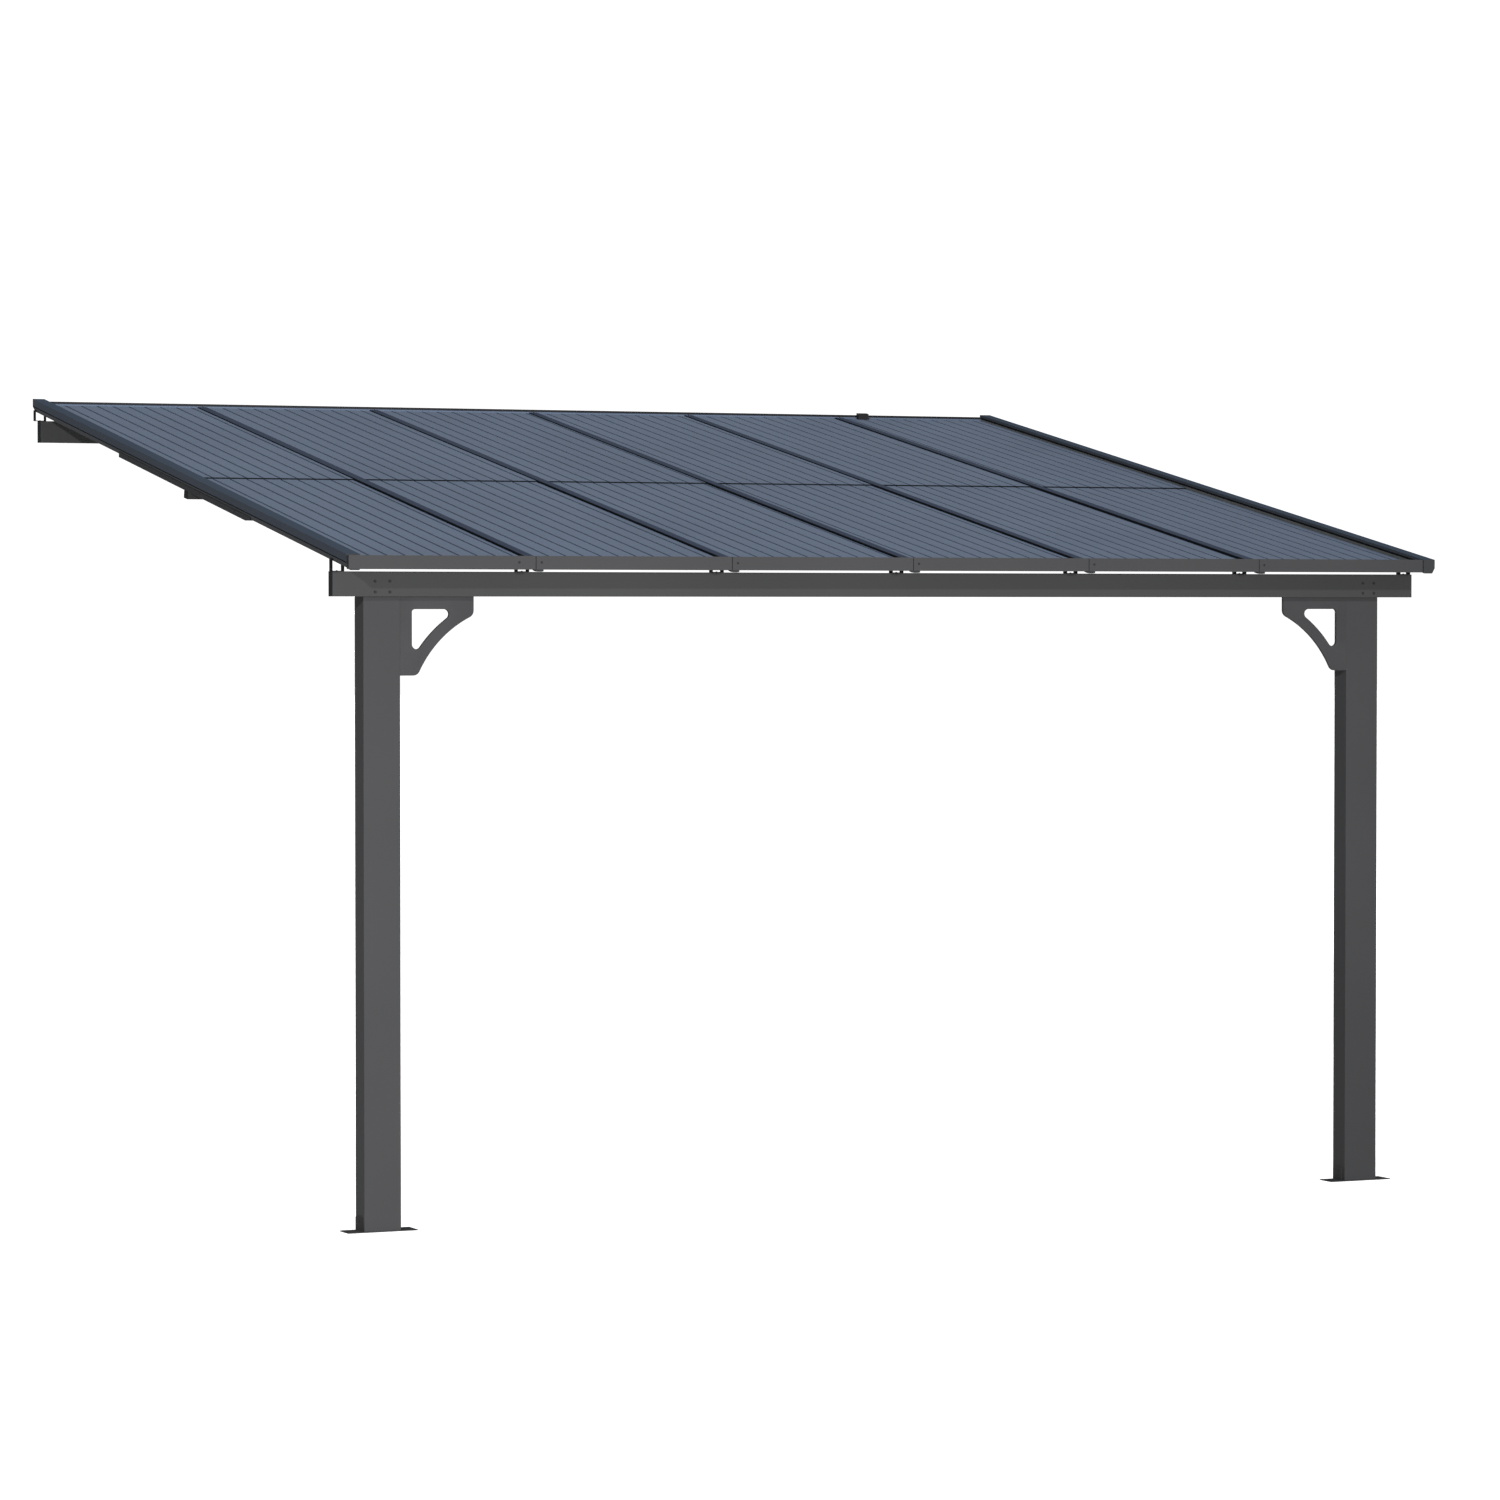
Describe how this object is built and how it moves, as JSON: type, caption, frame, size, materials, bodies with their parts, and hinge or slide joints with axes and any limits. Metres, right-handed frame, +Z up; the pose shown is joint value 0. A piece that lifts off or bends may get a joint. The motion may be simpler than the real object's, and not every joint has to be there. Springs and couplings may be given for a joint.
{
  "type": "wall-mounted pergola",
  "caption": "Lean-to pergola that fastens to a house wall: sloping ribbed metal roof sheets on rafters, held by a wall beam, a front beam, posts and arched corner braces.",
  "frame": {"origin": "centre of the wall beam's flat rear face, which lies against the house wall", "axes": "+X along the wall to the right as seen from the garden, +Y into the wall, +Z up; the ground is at z = -2.816 m"},
  "size_m": [4.25, 3.56, 2.9471],
  "materials": {
    "post": "satin powder coat",
    "foot": "satin powder coat",
    "brace": "satin powder coat",
    "beam": "satin powder coat",
    "rafter": "satin powder coat",
    "cover": "satin powder coat",
    "sleeve": "satin powder coat",
    "clip": "satin powder coat",
    "end_cap": "satin powder coat",
    "gutter": "satin powder coat",
    "sheet": "satin baked paint",
    "flashing": "satin powder coat"
  },
  "bodies": {
    "root": {"left_post": "post", "right_post": "post", "left_foot": "foot", "right_foot": "foot", "left_brace": "brace", "right_brace": "brace", "front_beam": "beam", "wall_beam": "beam", "cross_rail": "beam", "beam_end_caps": "beam", "rafter_1": "rafter", "rafter_2": "rafter", "rafter_3": "rafter", "rafter_4": "rafter", "rafter_5": "rafter", "rafter_6": "rafter", "rafter_7": "rafter", "cover_strips": "cover", "splice_sleeves": "sleeve", "front_clips": "clip", "wall_clips": "clip", "front_end_caps": "end_cap", "rear_end_caps": "end_cap", "gutter_1": "gutter", "gutter_2": "gutter", "gutter_3": "gutter", "gutter_4": "gutter", "gutter_5": "gutter", "gutter_6": "gutter", "lower_sheet_1": "sheet", "lower_sheet_2": "sheet", "lower_sheet_3": "sheet", "lower_sheet_4": "sheet", "lower_sheet_5": "sheet", "lower_sheet_6": "sheet", "upper_sheet_1": "sheet", "upper_sheet_2": "sheet", "upper_sheet_3": "sheet", "upper_sheet_4": "sheet", "upper_sheet_5": "sheet", "upper_sheet_6": "sheet", "sheet_closures": "sheet", "wall_flashing": "flashing", "wall_stub": "flashing"}
  },
  "joints": []
}
